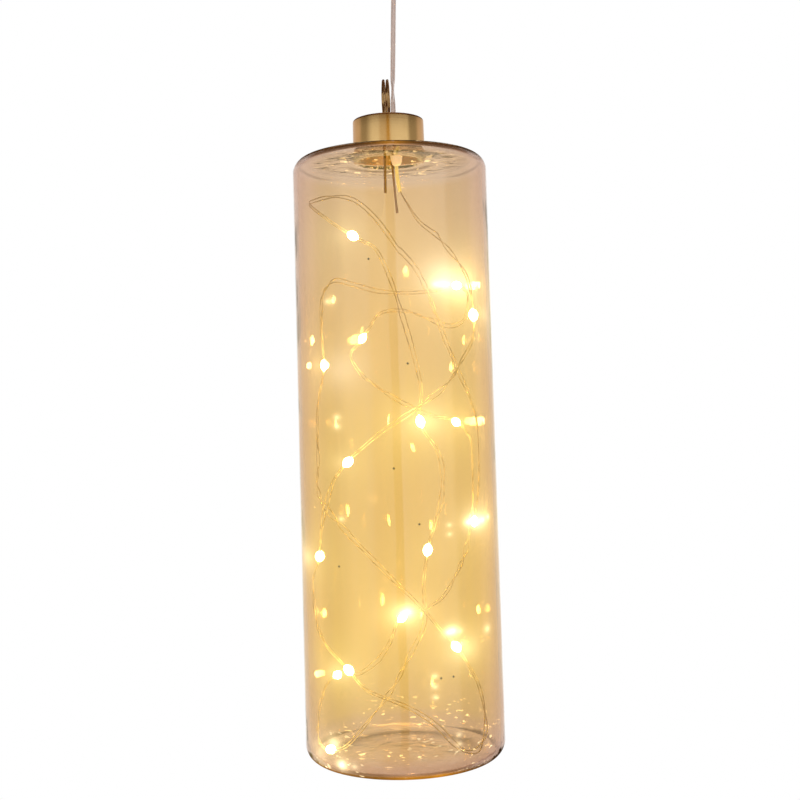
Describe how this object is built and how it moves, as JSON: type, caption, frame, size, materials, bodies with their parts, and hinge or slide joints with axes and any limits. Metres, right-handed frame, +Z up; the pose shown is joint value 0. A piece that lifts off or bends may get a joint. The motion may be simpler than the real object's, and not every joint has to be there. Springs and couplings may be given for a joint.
{
  "type": "hanging glass led light",
  "caption": "Upright tinted glass cylinder hung from a sprung wire eye under a round brass cap, lit from inside by a loosely looped string of small lamps.",
  "frame": {"origin": "inside of the crown of the wire eye, where a hook carries the light", "axes": "+Z up along the light's axis, -Y the front, +X to the right seen from the front"},
  "size_m": [0.082, 0.082, 0.3363],
  "materials": {
    "brass_wire": "satin",
    "clear_rubber": "satin",
    "brushed_brass": "brushed",
    "clear_pvc": "gloss",
    "grip_plastic": "matte",
    "set_adhesive": "satin",
    "sleeve": "satin",
    "lustre_glass": "clear, amber tint",
    "enamelled_wire": "enamelled",
    "clear_resin": "clear",
    "led_phosphor": "matte"
  },
  "bodies": {
    "hanger": {"hanger_wire": "brass_wire", "cord_bush": "clear_rubber", "power_cord": "clear_pvc", "ceiling_grip": "grip_plastic", "cord_anchor": "set_adhesive", "splice_sleeve_a": "sleeve", "splice_sleeve_b": "sleeve"},
    "cap": {"cap_shell": "brushed_brass"},
    "glass": {"glass_body": "lustre_glass", "lead_wire_a": "enamelled_wire", "lead_wire_b": "enamelled_wire", "string_wire_a": "enamelled_wire", "string_wire_b": "enamelled_wire", "led_droplet_01": "clear_resin", "led_droplet_02": "clear_resin", "led_droplet_03": "clear_resin", "led_droplet_04": "clear_resin", "led_droplet_05": "clear_resin", "led_droplet_06": "clear_resin", "led_droplet_07": "clear_resin", "led_droplet_08": "clear_resin", "led_droplet_09": "clear_resin", "led_droplet_10": "clear_resin", "led_droplet_11": "clear_resin", "led_droplet_12": "clear_resin", "led_droplet_13": "clear_resin", "led_droplet_14": "clear_resin", "led_droplet_15": "clear_resin", "led_droplet_16": "clear_resin", "led_chip_01": "led_phosphor", "led_chip_02": "led_phosphor", "led_chip_03": "led_phosphor", "led_chip_04": "led_phosphor", "led_chip_05": "led_phosphor", "led_chip_06": "led_phosphor", "led_chip_07": "led_phosphor", "led_chip_08": "led_phosphor", "led_chip_09": "led_phosphor", "led_chip_10": "led_phosphor", "led_chip_11": "led_phosphor", "led_chip_12": "led_phosphor", "led_chip_13": "led_phosphor", "led_chip_14": "led_phosphor", "led_chip_15": "led_phosphor", "led_chip_16": "led_phosphor"}
  },
  "joints": [
    {"name": "cap_turn", "type": "hinge", "parent": "hanger", "child": "cap", "pos_m": [0, 0, -0.016], "axis": [0, 0, 1], "continuous": true},
    {"name": "glass_pull", "type": "slide", "parent": "hanger", "child": "glass", "axis": [0, 0, -1], "range_m": [0, 0.035], "deforming": ["lead_wire_a", "lead_wire_b"]}
  ]
}
